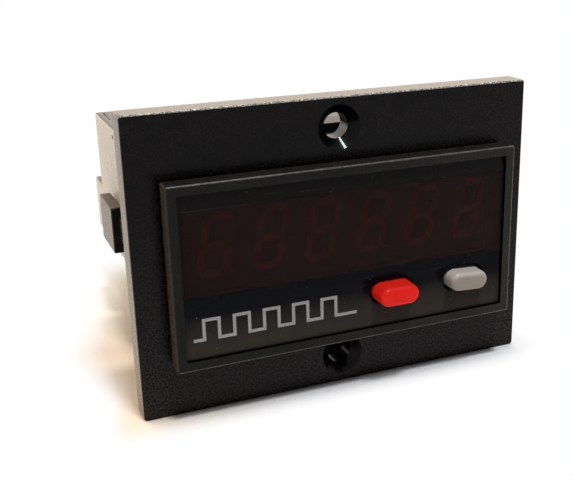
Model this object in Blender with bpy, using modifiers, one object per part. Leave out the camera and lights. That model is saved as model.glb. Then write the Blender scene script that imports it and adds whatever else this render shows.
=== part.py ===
"""Panel counter clamped in a screw-fixing bezel plate, one object for each piece.

Metres, +Z up. The origin is the centre of the panel cut-out in the plane of the panel's front,
which is the back face of the bezel plate. +X is right seen from the front, +Y runs back
through the panel. The counter's own axis is the line x = 0, z = 0.
"""
import math

import bmesh
import bpy
from mathutils import Matrix

# Counter housing: a front frame and a stepped tube in one moulding.
BODY_WIDTH = 0.0446
BODY_HEIGHT = 0.0216
BODY_WALL = 0.0012
INNER_WIDTH = BODY_WIDTH - 2 * BODY_WALL
INNER_HEIGHT = BODY_HEIGHT - 2 * BODY_WALL
OPENING_PLAY = 0.0004
FRAME_LIP_X = 0.00195
FRAME_LIP_Z = 0.00135
FRAME_WIDTH = BODY_WIDTH + 2 * FRAME_LIP_X
FRAME_HEIGHT = BODY_HEIGHT + 2 * FRAME_LIP_Z
FRAME_STAND = 0.0035
FRAME_EDGE = 0.00018
BODY_EDGE = 0.0003
FRAME_RIM = 0.0013
FRONT_WALL = 0.0013
UPPER_DEPTH = 0.0536
STEP_LENGTH = 0.0059
LOWER_DEPTH = UPPER_DEPTH + STEP_LENGTH
STEP_Z = -BODY_HEIGHT / 12
GASKET_THICKNESS = 0.0005
GASKET_INSET = 0.0003
GASKET_GAP = 0.0001

# Sliding mounting clip, and the racks that it ratchets on.
CLIP_SIDE = 0.0021
CLIP_TOP = 0.0016
CLIP_WIDTH = BODY_WIDTH + 2 * CLIP_SIDE
CLIP_HEIGHT = BODY_HEIGHT + 2 * CLIP_TOP
CLIP_PLAY = 0.0002
CLIP_RING_START = 0.0168
CLIP_RING_LENGTH = 0.0048
CLIP_CORNER = 0.0006
CLIP_BORE_CORNER = 0.0002
CLIP_LEG_WIDTH = 0.0050
CLIP_LEG_INSET = 0.0069
CLIP_ARM_THICKNESS = 0.0006
CLIP_ARM_HEIGHT = 0.0040
GRIP_START = 0.0305
GRIP_LENGTH = 0.0094
GRIP_HEIGHT = 0.00745
GRIP_Z = -0.2046 * BODY_HEIGHT
GRIP_EDGE = 0.0002
GRIP_RELIEF = 0.0001
RACK_START = 0.0050
RACK_END = 0.0430
RACK_HEIGHT = 0.0046
RACK_DEPTH = 0.0006
TOOTH_PITCH = 0.0015
TOOTH_DEPTH = 0.0005

# Bezel plate, with its two countersunk fixing holes above each other.
PANEL_PLAY_X = 0.0006
PANEL_PLAY_Z = 0.0001
PANEL_CUTOUT_WIDTH = CLIP_WIDTH + 2 * PANEL_PLAY_X
PANEL_CUTOUT_HEIGHT = CLIP_HEIGHT + 2 * PANEL_PLAY_Z
PLATE_MARGIN_X = 0.0030
PLATE_MARGIN_Z = 0.0075
PLATE_WIDTH = PANEL_CUTOUT_WIDTH + 2 * PLATE_MARGIN_X
PLATE_HEIGHT = PANEL_CUTOUT_HEIGHT + 2 * PLATE_MARGIN_Z
PLATE_THICKNESS = 0.0037
PLATE_CORNER = 0.0004
PLATE_EDGE = 0.0002
PLATE_OFFSET_X = -0.0003
PLATE_OFFSET_Z = 0.0004
SCREW_INSET = 0.0040
SCREW_SPACING = PLATE_HEIGHT - 2 * SCREW_INSET
SCREW_HOLE_RADIUS = 0.0017
COUNTERSINK_RADIUS = 0.00295
COLLAR_CLEARANCE = 0.0002
COLLAR_DEPTH = 0.0012

# Foil, window and display.
WINDOW_RECESS = 0.0004
FOIL_THICKNESS = 0.0011
FOIL_PLAY = 0.0001
FOIL_SIDE_STRIP = 0.0002
DISPLAY_TOP_GAP = 0.0007
KEY_ROOM = 0.0071
DISPLAY_HEIGHT = INNER_HEIGHT - DISPLAY_TOP_GAP - KEY_ROOM
DISPLAY_Z = (KEY_ROOM - DISPLAY_TOP_GAP) / 2
DISPLAY_DEPTH = 0.0058
DISPLAY_SETBACK = 0.0005
DISPLAY_PLAY = 0.00015
WINDOW_DROP = 0.0001
DIGIT_RISE = 0.0003
WINDOW_HEIGHT = DISPLAY_HEIGHT
WINDOW_Z = DISPLAY_Z - WINDOW_DROP
DIGITS_PER_MODULE = 3
DIGIT_PITCH = 0.1716 * INNER_WIDTH
DIGIT_Z = DISPLAY_Z + DIGIT_RISE
DIGIT_HEIGHT = 0.65 * DISPLAY_HEIGHT
DIGIT_WIDTH = 0.435 * DIGIT_PITCH
DIGIT_SLANT_DEG = 10.0
SEGMENT_WIDTH = 0.115 * DIGIT_HEIGHT
SEGMENT_GAP = 0.00015
SEGMENT_RELIEF = 0.00015

# Keys and the switches that they press.
KEY_WIDTH = 0.0059
KEY_HEIGHT = 0.00275
RESET_KEY_STAND = 0.0029
FUNCTION_KEY_STAND = 0.0021
KEY_EDGE = 0.0006
KEY_PLAY = 0.00038
KEY_RISE = 0.0036
KEY_Z = KEY_RISE - INNER_HEIGHT / 2
KEY_INSET = 0.0042
KEY_SPACING = 0.0111
FUNCTION_KEY_X = INNER_WIDTH / 2 - KEY_INSET
RESET_KEY_X = FUNCTION_KEY_X - KEY_SPACING
KEY_LEDGE = 0.00055
KEY_COLLAR_THICKNESS = 0.0008
KEY_TRAVEL = 0.0006
SWITCH_WIDTH = 0.0060
SWITCH_HEIGHT = 0.0044
PLUNGER_RADIUS = 0.0015
PLUNGER_PLAY = 0.0003

# Boards and what they carry.
SEAT_GAP = 0.0003
BOARD_THICKNESS = 0.0012
MAIN_BOARD_LIFT = 0.0002
MAIN_BOARD_Z = STEP_Z + MAIN_BOARD_LIFT
HEADER_PINS = 10
HEADER_PITCH = 0.00254
HEADER_SIZE = 0.0025
HEADER_PIN = 0.00064
CHIP_EDGE = 0.0002
CHIP_HEIGHT = 0.0016
CONTROLLER_SIZE = 0.0120
MEMORY_WIDTH = 0.0050
MEMORY_LENGTH = 0.0040
CRYSTAL_WIDTH = 0.0110
CRYSTAL_LENGTH = 0.0045
CRYSTAL_HEIGHT = 0.0035
CAPACITOR_RADIUS = 0.0040
CAPACITOR_ROOM = 0.0017
CAPACITOR_HEIGHT = INNER_HEIGHT / 2 - MAIN_BOARD_Z - BOARD_THICKNESS - SEAT_GAP - CAPACITOR_ROOM
CAPACITOR_BEAD = 0.0003
CAPACITOR_NECK = 0.0012
REGULATOR_WIDTH = 0.0066
REGULATOR_LENGTH = 0.0061
REGULATOR_HEIGHT = 0.0023
REGULATOR_TAB = 0.0024
REGULATOR_TAB_HEIGHT = 0.0005
COUPLER_WIDTH = 0.0046
COUPLER_LENGTH = 0.0065
COUPLER_HEIGHT = 0.0035

# Terminals at the back.
POLES = 8
TERMINAL_END = 0.00078
POLE_PITCH = (INNER_WIDTH - 2 * TERMINAL_END) / POLES
POLE_WALL = 0.00138
TERMINAL_LENGTH = 0.0112
TERMINAL_INSET = 0.0002
WIRE_ENTRY = POLE_PITCH - POLE_WALL
WIRE_ENTRY_RISE = 0.0026
WIRE_CHAMBER_DEPTH = 0.0062
WELL_MARGIN = 0.0001
WELL_RADIUS = WIRE_ENTRY / 2 + WELL_MARGIN
TERMINAL_SCREW_PLAY = 0.00025
TERMINAL_SCREW_RADIUS = WELL_RADIUS - TERMINAL_SCREW_PLAY
TERMINAL_SCREW_CHAMFER = 0.0002
TERMINAL_SCREW_SHANK_RADIUS = 0.0010
SLOT_WIDTH = 0.0006
SLOT_DEPTH = 0.0007
SCREW_SINK = 0.0008
CAGE_WALL = 0.0006
CAGE_LENGTH = 0.0040
TAIL_WIDTH = 0.0008
TAIL_SETBACK = 0.0022
COVER_THICKNESS = 0.0015
COVER_PLAY = 0.00015
NOTCH_WIDTH = 0.0040
NOTCH_DEPTH = 0.0008

# Small marks on the housing.
GROOVE_INSET = 0.0012
GROOVE_WIDTH = 0.0003
GROOVE_LENGTH = 0.0060
GROOVE_DEPTH = 0.00025
GROOVE_SETBACK = 0.0014
DIMPLE_RADIUS = 0.0004
DIMPLE_DEPTH = 0.0004
DIMPLE_SETBACK = 0.0146
DIMPLE_DROP = 0.0013

# Places along Y that follow from the sizes.
PLATE_FRONT = -PLATE_THICKNESS
FRAME_BACK = PLATE_FRONT - GASKET_THICKNESS - 2 * GASKET_GAP
FRAME_FRONT = PLATE_FRONT - FRAME_STAND
FOIL_FRONT = FRAME_FRONT + WINDOW_RECESS
FOIL_BACK = FOIL_FRONT + FOIL_THICKNESS
WALL_FRONT = FOIL_BACK + FOIL_PLAY
WALL_BACK = WALL_FRONT + FRONT_WALL
UPPER_BACK = PLATE_FRONT + UPPER_DEPTH
LOWER_BACK = PLATE_FRONT + LOWER_DEPTH
DISPLAY_FRONT = FOIL_BACK + DISPLAY_SETBACK
DISPLAY_BACK = DISPLAY_FRONT + SEGMENT_RELIEF + DISPLAY_DEPTH
DISPLAY_BOARD_FRONT = DISPLAY_BACK + SEAT_GAP
DISPLAY_BOARD_BACK = DISPLAY_BOARD_FRONT + BOARD_THICKNESS
MAIN_BOARD_FRONT = DISPLAY_BOARD_BACK + SEAT_GAP
COVER_FRONT = UPPER_BACK - COVER_THICKNESS
MAIN_BOARD_BACK = COVER_FRONT - SEAT_GAP
MAIN_BOARD_TOP = MAIN_BOARD_Z + BOARD_THICKNESS
TERMINAL_BACK = LOWER_BACK - TERMINAL_INSET
TERMINAL_FRONT = TERMINAL_BACK - TERMINAL_LENGTH
TERMINAL_TOP = STEP_Z - TERMINAL_INSET
TERMINAL_BOTTOM = -INNER_HEIGHT / 2 + TERMINAL_INSET
WIRE_ENTRY_Z = TERMINAL_BOTTOM + WIRE_ENTRY_RISE
CHAMBER_FRONT = TERMINAL_BACK - WIRE_CHAMBER_DEPTH
POLE_Y = CHAMBER_FRONT + CAGE_LENGTH / 2 + SEAT_GAP
TAIL_Y = TERMINAL_FRONT + TAIL_SETBACK

ARC_STEPS = 6
ROUND_STEPS = 32
OVERRUN = 0.0010

MODEL = bpy.data.collections.new("panel_counter")
CUTTERS = bpy.data.collections.new("panel_counter_cutters")
MATERIALS = {
    "plate_plastic": ((0.020, 0.019, 0.017), 0.55, 0.0),
    "housing_plastic": ((0.021, 0.023, 0.021), 0.45, 0.0),
    "seal_rubber": ((0.010, 0.010, 0.010), 0.80, 0.0),
    "foil_print": ((0.012, 0.013, 0.017), 0.30, 0.0),
    "window_red": ((0.060, 0.008, 0.008), 0.15, 0.0),
    "display_face": ((0.030, 0.012, 0.012), 0.50, 0.0),
    "key_red": ((0.800, 0.030, 0.015), 0.40, 0.0),
    "key_grey": ((0.420, 0.400, 0.380), 0.45, 0.0),
    "switch_black": ((0.030, 0.030, 0.030), 0.50, 0.0),
    "board_green": ((0.020, 0.140, 0.050), 0.40, 0.0),
    "chip_black": ((0.025, 0.025, 0.025), 0.50, 0.0),
    "can_metal": ((0.650, 0.650, 0.660), 0.30, 1.0),
    "terminal_plastic": ((0.030, 0.032, 0.032), 0.50, 0.0),
    "terminal_metal": ((0.700, 0.690, 0.650), 0.35, 1.0),
    "clip_plastic": ((0.018, 0.018, 0.018), 0.40, 0.0),
}


def clear_scene():
    for old in list(bpy.data.objects):
        bpy.data.objects.remove(old, do_unlink=True)
    bpy.context.scene.collection.children.link(MODEL)
    bpy.context.scene.collection.children.link(CUTTERS)


def finish_material(name):
    """The named material, made the first time that it is asked for."""
    material = bpy.data.materials.get(name)
    if material is None:
        colour, roughness, metallic = MATERIALS[name]
        material = bpy.data.materials.new(name)
        material.use_nodes = True
        shader = material.node_tree.nodes["Principled BSDF"]
        shader.inputs["Base Color"].default_value = (*colour, 1.0)
        shader.inputs["Roughness"].default_value = roughness
        shader.inputs["Metallic"].default_value = metallic
        material.diffuse_color = (*colour, 1.0)
    return material


def add_object(name, mesh, material, location=(0, 0, 0), parent=None):
    """Puts a mesh in the model, or among the cutters when it has no material."""
    piece = bpy.data.objects.new(name, mesh)
    piece.location = location
    piece.parent = parent
    if material is None:
        piece.hide_render = True
        piece.display_type = "WIRE"
        CUTTERS.objects.link(piece)
    else:
        mesh.materials.clear()
        mesh.materials.append(finish_material(material))
        MODEL.objects.link(piece)
    return piece


def add_axis(name, location=(0, 0, 0), parent=None):
    axis = bpy.data.objects.new(name, None)
    axis.location = location
    axis.parent = parent
    axis.empty_display_size = 0.004
    MODEL.objects.link(axis)
    return axis


def bevel_edges(piece, width, segments=2):
    if width > 0:
        bevel = piece.modifiers.new("edges", "BEVEL")
        bevel.width = width
        bevel.segments = segments
        bevel.use_clamp_overlap = False
        bevel.limit_method = "ANGLE"
        bevel.angle_limit = math.radians(40)


def combine(piece, tool, operation):
    boolean = piece.modifiers.new(operation.lower() + "_" + tool.name, "BOOLEAN")
    boolean.operation = operation
    boolean.solver = "EXACT"
    boolean.object = tool


def cut(piece, *tools):
    for tool in tools:
        combine(piece, tool, "DIFFERENCE")


def join(piece, *tools):
    for tool in tools:
        combine(piece, tool, "UNION")


def span(centre, width):
    return centre - width / 2, centre + width / 2


def box_mesh(name, xs, ys, zs, centres=((0, 0, 0),)):
    """Boxes of one size, one at each centre, about the middle of the three ranges."""
    size = [high - low for low, high in (xs, ys, zs)]
    bm = bmesh.new()
    for centre in centres:
        scale = Matrix.Diagonal((*size, 1.0))
        bmesh.ops.create_cube(bm, size=1.0, matrix=Matrix.Translation(centre) @ scale)
    mesh = bpy.data.meshes.new(name)
    bm.to_mesh(mesh)
    bm.free()
    return mesh


def middle(xs, ys, zs):
    return tuple((low + high) / 2 for low, high in (xs, ys, zs))


def box(name, xs, ys, zs, material=None, edge=0.0, parent=None, centres=((0, 0, 0),)):
    """A box, or one box at each of the centres, which count from the first one's middle."""
    mesh = box_mesh(name, xs, ys, zs, centres)
    piece = add_object(name, mesh, material, middle(xs, ys, zs), parent)
    bevel_edges(piece, edge)
    return piece


def round_bar(name, radius, start, end, axis, centre, material=None, parent=None,
              centres=((0, 0, 0),), end_radius=None):
    """A cylinder or cone along Y or Z from start to end, or one at each of the centres."""
    turn = Matrix.Rotation(math.radians(-90), 4, "X") if axis == "Y" else Matrix.Identity(4)
    bm = bmesh.new()
    for shift in centres:
        bmesh.ops.create_cone(
            bm, cap_ends=True, cap_tris=False, segments=ROUND_STEPS, radius1=radius,
            radius2=radius if end_radius is None else end_radius, depth=end - start,
            matrix=Matrix.Translation(shift) @ turn)
    mesh = bpy.data.meshes.new(name)
    bm.to_mesh(mesh)
    bm.free()
    mesh.shade_smooth()
    mesh.set_sharp_from_angle(angle=math.radians(35))
    halfway = (start + end) / 2
    place = (centre[0], halfway, centre[1]) if axis == "Y" else (centre[0], centre[1], halfway)
    return add_object(name, mesh, material, place, parent)


def rounded_outline(width, height, radius, centre=(0, 0)):
    """A rectangle with round corners, as points round it. Half the height makes round ends."""
    points = []
    for quarter, (side_x, side_z) in enumerate(((1, 1), (-1, 1), (-1, -1), (1, -1))):
        corner_x = centre[0] + side_x * (width / 2 - radius)
        corner_z = centre[1] + side_z * (height / 2 - radius)
        for step in range(ARC_STEPS + 1):
            angle = math.radians(90) * (quarter + step / ARC_STEPS)
            point = (corner_x + radius * math.cos(angle), corner_z + radius * math.sin(angle))
            if not points or math.dist(point, points[-1]) > 1e-6:
                points.append(point)
    if math.dist(points[0], points[-1]) < 1e-6:
        points.pop()
    return points


def prism(name, outlines, ys, material=None, edge=0.0, parent=None, place=(0, 0)):
    """A plate between two Y planes. An outline that lies inside another one is a hole."""
    curve = bpy.data.curves.new(name, "CURVE")
    curve.dimensions = "2D"
    curve.fill_mode = "BOTH"
    curve.extrude = (ys[1] - ys[0]) / 2
    for points in outlines:
        spline = curve.splines.new("POLY")
        spline.points.add(len(points) - 1)
        for control, (x, z) in zip(spline.points, points):
            control.co = (x, z, 0.0, 1.0)
        spline.use_cyclic_u = True
    guide = bpy.data.objects.new(name + "_outline", curve)
    CUTTERS.objects.link(guide)
    mesh = bpy.data.meshes.new_from_object(
        guide.evaluated_get(bpy.context.evaluated_depsgraph_get()))
    bpy.data.objects.remove(guide, do_unlink=True)
    bm = bmesh.new()
    bm.from_mesh(mesh)
    bmesh.ops.remove_doubles(bm, verts=bm.verts, dist=1e-6)
    bmesh.ops.rotate(bm, verts=bm.verts, cent=(0, 0, 0),
                     matrix=Matrix.Rotation(math.radians(90), 3, "X"))
    bmesh.ops.recalc_face_normals(bm, faces=bm.faces)
    bm.to_mesh(mesh)
    bm.free()
    piece = add_object(name, mesh, material, (place[0], sum(ys) / 2, place[1]), parent)
    bevel_edges(piece, edge)
    return piece


def turned(name, profile, material, location, parent=None):
    """A turned piece about Z from a profile of (radius, height), outer side from the top down."""
    mesh = bpy.data.meshes.new(name)
    edges = [(i, i + 1) for i in range(len(profile) - 1)]
    mesh.from_pydata([(radius, 0.0, height) for radius, height in profile], edges, [])
    piece = add_object(name, mesh, material, location, parent)
    screw = piece.modifiers.new("turn", "SCREW")
    screw.steps = ROUND_STEPS // 2
    screw.render_steps = ROUND_STEPS // 2
    screw.use_merge_vertices = True
    screw.merge_threshold = 0.00001
    screw.use_smooth_shade = False
    return piece


def pole_places():
    """X of each terminal, from the left."""
    first = -POLE_PITCH * (POLES - 1) / 2
    return [first + POLE_PITCH * pole for pole in range(POLES)]


def make_plate():
    centre = add_axis("plate_centre", (PLATE_OFFSET_X, 0, PLATE_OFFSET_Z))
    plate = prism("bezel_plate", [rounded_outline(PLATE_WIDTH, PLATE_HEIGHT, PLATE_CORNER)],
                  (PLATE_FRONT, 0), "plate_plastic", PLATE_EDGE, centre)
    collar = prism("collar_tool", [rounded_outline(
        PANEL_CUTOUT_WIDTH - 2 * COLLAR_CLEARANCE, PANEL_CUTOUT_HEIGHT - 2 * COLLAR_CLEARANCE,
        PLATE_CORNER)], (PLATE_FRONT / 2, COLLAR_DEPTH))
    opening = prism("opening_tool", [rounded_outline(
        BODY_WIDTH + 2 * OPENING_PLAY, BODY_HEIGHT + 2 * OPENING_PLAY, PLATE_CORNER)],
        (PLATE_FRONT - OVERRUN, COLLAR_DEPTH + OVERRUN))
    join(plate, collar)
    cut(plate, opening)
    wide, sink_depth = COUNTERSINK_RADIUS + OVERRUN, COUNTERSINK_RADIUS - SCREW_HOLE_RADIUS
    front, back = PLATE_THICKNESS + OVERRUN, -OVERRUN
    profile = [(0, front), (wide, front), (SCREW_HOLE_RADIUS, PLATE_THICKNESS - sink_depth),
               (SCREW_HOLE_RADIUS, back), (0, back)]
    for side, word in ((1, "upper"), (-1, "lower")):
        hole = turned(word + "_screw_hole_tool", profile, None,
                      (0, 0, side * SCREW_SPACING / 2), centre)
        hole.rotation_euler = (math.radians(90), 0, 0)
        cut(plate, hole)


def make_gasket(counter):
    outer = rounded_outline(FRAME_WIDTH - 2 * GASKET_INSET, FRAME_HEIGHT - 2 * GASKET_INSET,
                            PLATE_CORNER)
    inner = rounded_outline(BODY_WIDTH + 2 * OPENING_PLAY, BODY_HEIGHT + 2 * OPENING_PLAY,
                            PLATE_CORNER)
    back = PLATE_FRONT - GASKET_GAP
    prism("frame_gasket", [outer, inner], (back - GASKET_THICKNESS, back), "seal_rubber",
          parent=counter)


def rack_outline():
    """Saw teeth along Y at the bottom of a rack channel, as points of (x, y) on the right side."""
    floor = BODY_WIDTH / 2 - RACK_DEPTH
    count = int((RACK_END - RACK_START) / TOOTH_PITCH)
    points = [(floor - OVERRUN / 4, RACK_START), (floor, RACK_START)]
    for tooth in range(count):
        foot = RACK_START + tooth * TOOTH_PITCH
        points.append((floor + TOOTH_DEPTH, foot + TOOTH_PITCH * 0.75))
        points.append((floor, foot + TOOTH_PITCH))
    points.append((floor - OVERRUN / 4, RACK_START + count * TOOTH_PITCH))
    return points


def make_rack(side):
    """The ratchet teeth of one side as a tool to join to the housing."""
    outline = [(side * x, y) for x, y in rack_outline()]
    word = "right" if side > 0 else "left"
    teeth = prism(word + "_rack_tool", [outline], (0, RACK_HEIGHT + RACK_DEPTH))
    teeth.rotation_euler = (math.radians(-90), 0, 0)
    teeth.location = (0, 0, GRIP_Z)
    return teeth


def make_housing(counter):
    half_width, half_height = BODY_WIDTH / 2, BODY_HEIGHT / 2
    across = (-half_width, half_width)
    housing = prism("housing", [rounded_outline(FRAME_WIDTH, FRAME_HEIGHT, FRAME_EDGE * 1.5)],
                    (FRAME_FRONT, FRAME_BACK), "housing_plastic", FRAME_EDGE, counter)
    tube = box("tube_tool", across, (FRAME_FRONT + FRAME_STAND / 2, UPPER_BACK),
               (-half_height, half_height), edge=BODY_EDGE)
    lower = box("lower_tube_tool", across, (UPPER_BACK / 2, LOWER_BACK), (-half_height, STEP_Z),
                edge=BODY_EDGE)
    join(housing, tube, lower)
    pocket = prism("pocket_tool", [rounded_outline(
        FRAME_WIDTH - 2 * FRAME_RIM, FRAME_HEIGHT - 2 * FRAME_RIM, FRAME_EDGE)],
        (FRAME_FRONT - OVERRUN, WALL_FRONT))
    cavity = box("cavity_tool", span(0, INNER_WIDTH), (WALL_BACK, LOWER_BACK + OVERRUN),
                 span(0, INNER_HEIGHT))
    view = box("display_opening_tool", span(0, INNER_WIDTH - 2 * DISPLAY_PLAY),
               (FRAME_FRONT, WALL_BACK + OVERRUN),
               span(DISPLAY_Z, DISPLAY_HEIGHT + 2 * DISPLAY_PLAY))
    cut(housing, pocket, cavity, view)
    for word, x in (("reset", RESET_KEY_X), ("function", FUNCTION_KEY_X)):
        cut(housing, prism(word + "_key_hole_tool", [key_hole(x)], (FRAME_FRONT, WALL_BACK + OVERRUN)))
    for side, word in ((1, "right"), (-1, "left")):
        rack = make_rack(side)
        channel = box(word + "_channel_tool", span(side * half_width, 2 * RACK_DEPTH),
                      (RACK_START, RACK_END), span(GRIP_Z, RACK_HEIGHT))
        groove_end = UPPER_BACK - GROOVE_SETBACK
        groove = box(word + "_groove_tool",
                     span(side * (half_width - GROOVE_INSET), GROOVE_WIDTH),
                     (groove_end - GROOVE_LENGTH, groove_end),
                     span(half_height, 2 * GROOVE_DEPTH))
        dimple = round_bar(word + "_dimple_tool", DIMPLE_RADIUS, -DIMPLE_DEPTH, DIMPLE_DEPTH, "Z",
                           (0, 0))
        dimple.rotation_euler = (0, math.radians(90), 0)
        dimple.location = (side * half_width, UPPER_BACK - DIMPLE_SETBACK,
                           half_height - DIMPLE_DROP)
        cut(housing, channel, groove, dimple)
        join(housing, rack)


def key_hole(x):
    height = KEY_HEIGHT + 2 * KEY_PLAY
    return rounded_outline(KEY_WIDTH + 2 * KEY_PLAY, height, height / 2, (x, KEY_Z))


def make_front(counter):
    """The printed foil with its window and key holes, and the red window that fills it."""
    width = FRAME_WIDTH - 2 * FRAME_RIM - 2 * FOIL_PLAY
    height = FRAME_HEIGHT - 2 * FRAME_RIM - 2 * FOIL_PLAY
    window_width = width - 2 * FOIL_SIDE_STRIP
    sheet = rounded_outline(width, height, FRAME_EDGE)
    window = rounded_outline(window_width, WINDOW_HEIGHT, FRAME_EDGE, (0, WINDOW_Z))
    prism("front_foil", [sheet, window, key_hole(RESET_KEY_X), key_hole(FUNCTION_KEY_X)],
          (FOIL_FRONT, FOIL_BACK), "foil_print", parent=counter)
    pane = rounded_outline(window_width - FOIL_PLAY, WINDOW_HEIGHT - FOIL_PLAY, FRAME_EDGE,
                           (0, WINDOW_Z))
    prism("display_window", [pane], (FOIL_FRONT, FOIL_BACK), "window_red", parent=counter)


def segment_outlines(x):
    """The seven segments and the point of a slanted digit that is centred on x."""
    lean = math.tan(math.radians(DIGIT_SLANT_DEG))
    half_width, half_height = DIGIT_WIDTH / 2, DIGIT_HEIGHT / 2
    half = SEGMENT_WIDTH / 2

    def lean_over(points):
        return [(x + px + lean * pz, DIGIT_Z + pz) for px, pz in points]

    def flat_bar(z):
        end = half_width - SEGMENT_GAP
        return lean_over([(-end, z), (-end + half, z - half), (end - half, z - half), (end, z),
                          (end - half, z + half), (-end + half, z + half)])

    def upright_bar(px, low, high):
        low, high = low + SEGMENT_GAP, high - SEGMENT_GAP
        return lean_over([(px, low), (px + half, low + half), (px + half, high - half),
                          (px, high), (px - half, high - half), (px - half, low + half)])

    bars = [flat_bar(z) for z in (-half_height, 0, half_height)]
    for px in (-half_width, half_width):
        bars.append(upright_bar(px, -half_height, 0))
        bars.append(upright_bar(px, 0, half_height))
    point_x = half_width + SEGMENT_WIDTH * 1.25
    dot = [(point_x + half * math.cos(math.radians(45 * k)),
            -half_height + half * math.sin(math.radians(45 * k))) for k in range(8)]
    return bars + [lean_over(dot)]


def make_displays(counter):
    """Two three-digit modules side by side, each with its segments standing on its face."""
    outer = INNER_WIDTH / 2 - DISPLAY_PLAY
    face = DISPLAY_FRONT + SEGMENT_RELIEF
    for side, word in ((-1, "left"), (1, "right")):
        ends = sorted((side * DISPLAY_PLAY, side * outer))
        module = box(word + "_led_display", ends, (face, DISPLAY_BACK),
                     span(DISPLAY_Z, DISPLAY_HEIGHT), "display_face", parent=counter)
        outlines = []
        for digit in range(DIGITS_PER_MODULE):
            outlines += segment_outlines(side * DIGIT_PITCH * (digit + 0.5))
        join(module, prism(word + "_segments_tool", outlines, (DISPLAY_FRONT, face + SEGMENT_RELIEF)))


def make_display_board(counter):
    board = box("display_board", span(0, INNER_WIDTH - 2 * SEAT_GAP),
                (DISPLAY_BOARD_FRONT, DISPLAY_BOARD_BACK), span(0, INNER_HEIGHT - 2 * SEAT_GAP),
                "board_green", parent=counter)
    holes = round_bar("header_hole_tool", HEADER_PIN, DISPLAY_BOARD_FRONT - OVERRUN,
                      DISPLAY_BOARD_BACK + OVERRUN, "Y", (0, header_height()),
                      centres=[(x, 0, 0) for x in header_places()])
    cut(board, holes)


def header_places():
    first = -HEADER_PITCH * (HEADER_PINS - 1) / 2
    return [first + HEADER_PITCH * pin for pin in range(HEADER_PINS)]


def header_height():
    return MAIN_BOARD_TOP + SEAT_GAP + HEADER_SIZE / 2


def make_header(counter):
    """The pin strip that links the two boards."""
    front = MAIN_BOARD_FRONT
    strip = box("board_header", span(0, HEADER_PINS * HEADER_PITCH), (front, front + HEADER_SIZE),
                span(header_height(), HEADER_SIZE), "chip_black", parent=counter)
    pins = box("header_pin_tool", span(0, HEADER_PIN),
               (DISPLAY_BOARD_FRONT - SEAT_GAP / 2, front + HEADER_SIZE / 2),
               span(header_height(), HEADER_PIN), centres=[(x, 0, 0) for x in header_places()])
    join(strip, pins)


def make_key(word, x, stand, material, counter):
    """A key cap with its retaining collar, the switch behind it and the switch's plunger."""
    axis = add_axis(word + "_key_axis", (x, 0, KEY_Z), counter)
    front = FOIL_FRONT - stand
    collar_front = WALL_BACK + SEAT_GAP
    collar_back = collar_front + KEY_COLLAR_THICKNESS
    cap = prism(word + "_key", [rounded_outline(KEY_WIDTH, KEY_HEIGHT, KEY_HEIGHT / 2)],
                (front, collar_back), material, KEY_EDGE, axis)
    join(cap, prism(word + "_collar_tool", [rounded_outline(
        KEY_WIDTH + 2 * KEY_LEDGE, KEY_HEIGHT + 2 * KEY_LEDGE, KEY_COLLAR_THICKNESS)],
        (collar_front, collar_back),
        parent=axis))
    switch_front = collar_back + KEY_TRAVEL + SEAT_GAP
    switch_back = DISPLAY_BOARD_FRONT - SEAT_GAP
    body = box(word + "_switch", span(0, SWITCH_WIDTH), (switch_front, switch_back),
               span(0, SWITCH_HEIGHT), "switch_black", parent=axis)
    plunger_front = collar_back + SEAT_GAP
    plunger_back = switch_front + KEY_TRAVEL
    bore_back = plunger_back + KEY_TRAVEL + SEAT_GAP
    cut(body, round_bar(word + "_bore_tool", PLUNGER_RADIUS + PLUNGER_PLAY,
                        switch_front - OVERRUN, bore_back, "Y", (0, 0), parent=axis))
    round_bar(word + "_switch_plunger", PLUNGER_RADIUS, plunger_front, plunger_back, "Y", (0, 0),
              "switch_black", axis)


def make_main_board(counter):
    board = box("main_board", span(0, INNER_WIDTH - 2 * SEAT_GAP),
                (MAIN_BOARD_FRONT, MAIN_BOARD_BACK), (MAIN_BOARD_Z, MAIN_BOARD_TOP),
                "board_green", parent=counter)
    tails = round_bar("tail_hole_tool", TAIL_WIDTH, MAIN_BOARD_Z - OVERRUN,
                      MAIN_BOARD_TOP + OVERRUN, "Z", (0, TAIL_Y),
                      centres=[(x, 0, 0) for x in pole_places()])
    cut(board, tails)


def on_board(share_x, share_y):
    """A place on the main board: X as a share of its width, Y as a share of its length."""
    length = MAIN_BOARD_BACK - MAIN_BOARD_FRONT
    return share_x * INNER_WIDTH, MAIN_BOARD_FRONT + share_y * length


def make_chip(name, place, width, length, height, counter):
    seat = MAIN_BOARD_TOP + SEAT_GAP
    return box(name, span(place[0], width), span(place[1], length), (seat, seat + height),
               "chip_black", CHIP_EDGE, counter)


def make_components(counter):
    """What stands on the main board, each piece on its own seat."""
    make_chip("microcontroller", on_board(-0.200, 0.306), CONTROLLER_SIZE, CONTROLLER_SIZE,
              CHIP_HEIGHT, counter)
    make_chip("memory_chip", on_board(0.118, 0.207), MEMORY_WIDTH, MEMORY_LENGTH, CHIP_HEIGHT,
              counter)
    make_crystal(counter)
    make_regulator(counter)
    turned("smoothing_capacitor", capacitor_profile(), "can_metal",
           (*on_board(0.320, 0.580), MAIN_BOARD_TOP + SEAT_GAP), counter)
    for side, word in ((-1, "left"), (1, "right")):
        make_chip(word + "_input_coupler", on_board(side * 0.095, 0.811), COUPLER_WIDTH,
                  COUPLER_LENGTH, COUPLER_HEIGHT, counter)


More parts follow.
